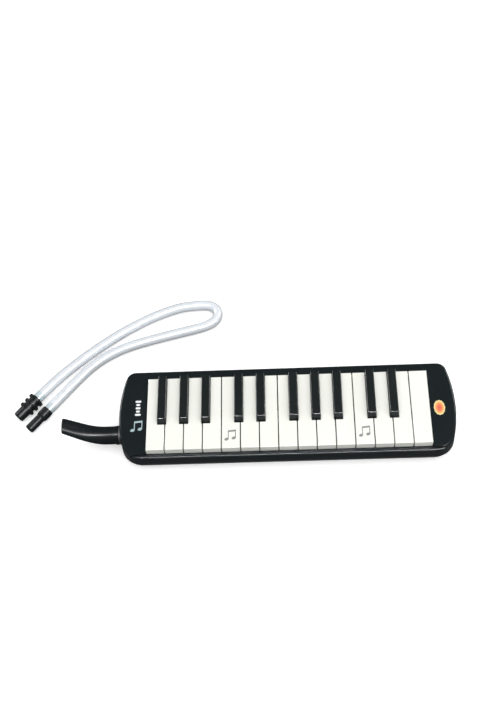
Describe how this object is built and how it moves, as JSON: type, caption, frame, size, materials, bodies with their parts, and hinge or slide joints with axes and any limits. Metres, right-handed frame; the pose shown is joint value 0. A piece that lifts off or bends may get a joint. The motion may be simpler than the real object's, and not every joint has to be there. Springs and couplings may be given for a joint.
{
  "type": "melodica",
  "caption": "Small keyed wind instrument with a piano keyboard, a short plug-in mouthpiece and a separate white blow hose, lying flat.",
  "frame": {"origin": "centre of the case's flat back, which the instrument lies on", "axes": "+X along the keyboard to the treble end, +Y to the rear of the keys, +Z out of the key tops"},
  "size_m": [0.4676, 0.2048, 0.0465],
  "materials": {
    "case_plastic": "satin black moulded ABS",
    "inner_plastic": "plain black moulding",
    "white_key_plastic": "polished white",
    "black_key_plastic": "satin black",
    "mouthpiece_plastic": "semi-gloss black",
    "fitting_plastic": "semi-gloss black",
    "hose_vinyl": "glossy white vinyl",
    "brass_plate": "milled",
    "reed_bronze": "rolled phosphor bronze",
    "gasket_rubber": "matt",
    "felt": "pressed wool felt",
    "steel": "zinc plated",
    "spring_steel": "bright",
    "strap_webbing": "ribbed elastic webbing"
  },
  "bodies": {
    "root": {"back_cover": "case_plastic", "top_cover": "case_plastic", "key_bed": "inner_plastic", "reed_plate_bass": "brass_plate", "reed_plate_treble": "brass_plate", "reed_tongues": "reed_bronze", "reed_chamber_cover": "inner_plastic", "chamber_gasket": "gasket_rubber", "mouthpiece_socket": "inner_plastic", "socket_seal_ring": "gasket_rubber", "key_axle_rod": "steel", "key_stop_felt": "felt", "key_springs": "spring_steel", "blow_hose": "hose_vinyl", "hose_connector": "fitting_plastic", "hose_mouthpiece": "fitting_plastic", "drain_spring": "spring_steel", "hand_strap": "strap_webbing", "hand_strap_plates": "inner_plastic", "case_screws": "steel", "bed_screws": "steel"},
    "white_key_F3": {"white_key_F3": "white_key_plastic"},
    "black_key_Fs3": {"black_key_Fs3": "black_key_plastic"},
    "white_key_G3": {"white_key_G3": "white_key_plastic"},
    "black_key_Gs3": {"black_key_Gs3": "black_key_plastic"},
    "white_key_A3": {"white_key_A3": "white_key_plastic"},
    "black_key_As3": {"black_key_As3": "black_key_plastic"},
    "white_key_B3": {"white_key_B3": "white_key_plastic"},
    "white_key_C4": {"white_key_C4": "white_key_plastic"},
    "black_key_Cs4": {"black_key_Cs4": "black_key_plastic"},
    "white_key_D4": {"white_key_D4": "white_key_plastic"},
    "black_key_Ds4": {"black_key_Ds4": "black_key_plastic"},
    "white_key_E4": {"white_key_E4": "white_key_plastic"},
    "white_key_F4": {"white_key_F4": "white_key_plastic"},
    "black_key_Fs4": {"black_key_Fs4": "black_key_plastic"},
    "white_key_G4": {"white_key_G4": "white_key_plastic"},
    "black_key_Gs4": {"black_key_Gs4": "black_key_plastic"},
    "white_key_A4": {"white_key_A4": "white_key_plastic"},
    "black_key_As4": {"black_key_As4": "black_key_plastic"},
    "white_key_B4": {"white_key_B4": "white_key_plastic"},
    "white_key_C5": {"white_key_C5": "white_key_plastic"},
    "black_key_Cs5": {"black_key_Cs5": "black_key_plastic"},
    "white_key_D5": {"white_key_D5": "white_key_plastic"},
    "black_key_Ds5": {"black_key_Ds5": "black_key_plastic"},
    "white_key_E5": {"white_key_E5": "white_key_plastic"},
    "white_key_F5": {"white_key_F5": "white_key_plastic"},
    "mouthpiece": {"mouthpiece": "mouthpiece_plastic"},
    "drain_button": {"drain_button": "case_plastic", "drain_seal": "gasket_rubber"}
  },
  "joints": [
    {"name": "white_key_F3_hinge", "type": "hinge", "parent": "root", "child": "white_key_F3", "pos_m": [0, 0.01, 0.0264], "axis": [1, 0, 0], "range_deg": [0, 4], "stiffness_Nm_per_rad": 0.25, "springref_deg": -6.88, "deforming": ["key_springs"]},
    {"name": "black_key_Fs3_hinge", "type": "hinge", "parent": "root", "child": "black_key_Fs3", "pos_m": [0, 0.01, 0.0264], "axis": [1, 0, 0], "range_deg": [0, 5], "stiffness_Nm_per_rad": 0.25, "springref_deg": -6.88},
    {"name": "white_key_G3_hinge", "type": "hinge", "parent": "root", "child": "white_key_G3", "pos_m": [0, 0.01, 0.0264], "axis": [1, 0, 0], "range_deg": [0, 4], "stiffness_Nm_per_rad": 0.25, "springref_deg": -6.88},
    {"name": "black_key_Gs3_hinge", "type": "hinge", "parent": "root", "child": "black_key_Gs3", "pos_m": [0, 0.01, 0.0264], "axis": [1, 0, 0], "range_deg": [0, 5], "stiffness_Nm_per_rad": 0.25, "springref_deg": -6.88},
    {"name": "white_key_A3_hinge", "type": "hinge", "parent": "root", "child": "white_key_A3", "pos_m": [0, 0.01, 0.0264], "axis": [1, 0, 0], "range_deg": [0, 4], "stiffness_Nm_per_rad": 0.25, "springref_deg": -6.88},
    {"name": "black_key_As3_hinge", "type": "hinge", "parent": "root", "child": "black_key_As3", "pos_m": [0, 0.01, 0.0264], "axis": [1, 0, 0], "range_deg": [0, 5], "stiffness_Nm_per_rad": 0.25, "springref_deg": -6.88},
    {"name": "white_key_B3_hinge", "type": "hinge", "parent": "root", "child": "white_key_B3", "pos_m": [0, 0.01, 0.0264], "axis": [1, 0, 0], "range_deg": [0, 4], "stiffness_Nm_per_rad": 0.25, "springref_deg": -6.88},
    {"name": "white_key_C4_hinge", "type": "hinge", "parent": "root", "child": "white_key_C4", "pos_m": [0, 0.01, 0.0264], "axis": [1, 0, 0], "range_deg": [0, 4], "stiffness_Nm_per_rad": 0.25, "springref_deg": -6.88},
    {"name": "black_key_Cs4_hinge", "type": "hinge", "parent": "root", "child": "black_key_Cs4", "pos_m": [0, 0.01, 0.0264], "axis": [1, 0, 0], "range_deg": [0, 5], "stiffness_Nm_per_rad": 0.25, "springref_deg": -6.88},
    {"name": "white_key_D4_hinge", "type": "hinge", "parent": "root", "child": "white_key_D4", "pos_m": [0, 0.01, 0.0264], "axis": [1, 0, 0], "range_deg": [0, 4], "stiffness_Nm_per_rad": 0.25, "springref_deg": -6.88},
    {"name": "black_key_Ds4_hinge", "type": "hinge", "parent": "root", "child": "black_key_Ds4", "pos_m": [0, 0.01, 0.0264], "axis": [1, 0, 0], "range_deg": [0, 5], "stiffness_Nm_per_rad": 0.25, "springref_deg": -6.88},
    {"name": "white_key_E4_hinge", "type": "hinge", "parent": "root", "child": "white_key_E4", "pos_m": [0, 0.01, 0.0264], "axis": [1, 0, 0], "range_deg": [0, 4], "stiffness_Nm_per_rad": 0.25, "springref_deg": -6.88},
    {"name": "white_key_F4_hinge", "type": "hinge", "parent": "root", "child": "white_key_F4", "pos_m": [0, 0.01, 0.0264], "axis": [1, 0, 0], "range_deg": [0, 4], "stiffness_Nm_per_rad": 0.25, "springref_deg": -6.88},
    {"name": "black_key_Fs4_hinge", "type": "hinge", "parent": "root", "child": "black_key_Fs4", "pos_m": [0, 0.01, 0.0264], "axis": [1, 0, 0], "range_deg": [0, 5], "stiffness_Nm_per_rad": 0.25, "springref_deg": -6.88},
    {"name": "white_key_G4_hinge", "type": "hinge", "parent": "root", "child": "white_key_G4", "pos_m": [0, 0.01, 0.0264], "axis": [1, 0, 0], "range_deg": [0, 4], "stiffness_Nm_per_rad": 0.25, "springref_deg": -6.88},
    {"name": "black_key_Gs4_hinge", "type": "hinge", "parent": "root", "child": "black_key_Gs4", "pos_m": [0, 0.01, 0.0264], "axis": [1, 0, 0], "range_deg": [0, 5], "stiffness_Nm_per_rad": 0.25, "springref_deg": -6.88},
    {"name": "white_key_A4_hinge", "type": "hinge", "parent": "root", "child": "white_key_A4", "pos_m": [0, 0.01, 0.0264], "axis": [1, 0, 0], "range_deg": [0, 4], "stiffness_Nm_per_rad": 0.25, "springref_deg": -6.88},
    {"name": "black_key_As4_hinge", "type": "hinge", "parent": "root", "child": "black_key_As4", "pos_m": [0, 0.01, 0.0264], "axis": [1, 0, 0], "range_deg": [0, 5], "stiffness_Nm_per_rad": 0.25, "springref_deg": -6.88},
    {"name": "white_key_B4_hinge", "type": "hinge", "parent": "root", "child": "white_key_B4", "pos_m": [0, 0.01, 0.0264], "axis": [1, 0, 0], "range_deg": [0, 4], "stiffness_Nm_per_rad": 0.25, "springref_deg": -6.88},
    {"name": "white_key_C5_hinge", "type": "hinge", "parent": "root", "child": "white_key_C5", "pos_m": [0, 0.01, 0.0264], "axis": [1, 0, 0], "range_deg": [0, 4], "stiffness_Nm_per_rad": 0.25, "springref_deg": -6.88},
    {"name": "black_key_Cs5_hinge", "type": "hinge", "parent": "root", "child": "black_key_Cs5", "pos_m": [0, 0.01, 0.0264], "axis": [1, 0, 0], "range_deg": [0, 5], "stiffness_Nm_per_rad": 0.25, "springref_deg": -6.88},
    {"name": "white_key_D5_hinge", "type": "hinge", "parent": "root", "child": "white_key_D5", "pos_m": [0, 0.01, 0.0264], "axis": [1, 0, 0], "range_deg": [0, 4], "stiffness_Nm_per_rad": 0.25, "springref_deg": -6.88},
    {"name": "black_key_Ds5_hinge", "type": "hinge", "parent": "root", "child": "black_key_Ds5", "pos_m": [0, 0.01, 0.0264], "axis": [1, 0, 0], "range_deg": [0, 5], "stiffness_Nm_per_rad": 0.25, "springref_deg": -6.88},
    {"name": "white_key_E5_hinge", "type": "hinge", "parent": "root", "child": "white_key_E5", "pos_m": [0, 0.01, 0.0264], "axis": [1, 0, 0], "range_deg": [0, 4], "stiffness_Nm_per_rad": 0.25, "springref_deg": -6.88},
    {"name": "white_key_F5_hinge", "type": "hinge", "parent": "root", "child": "white_key_F5", "pos_m": [0, 0.01, 0.0264], "axis": [1, 0, 0], "range_deg": [0, 4], "stiffness_Nm_per_rad": 0.25, "springref_deg": -6.88},
    {"name": "mouthpiece_pull", "type": "slide", "parent": "root", "child": "mouthpiece", "axis": [-1, 0, 0], "range_m": [0, 0.022]},
    {"name": "drain_press", "type": "slide", "parent": "root", "child": "drain_button", "axis": [-1, 0, 0], "range_m": [0, 0.002], "stiffness_N_per_m": 400, "springref_m": -0.003, "deforming": ["drain_spring"]}
  ]
}
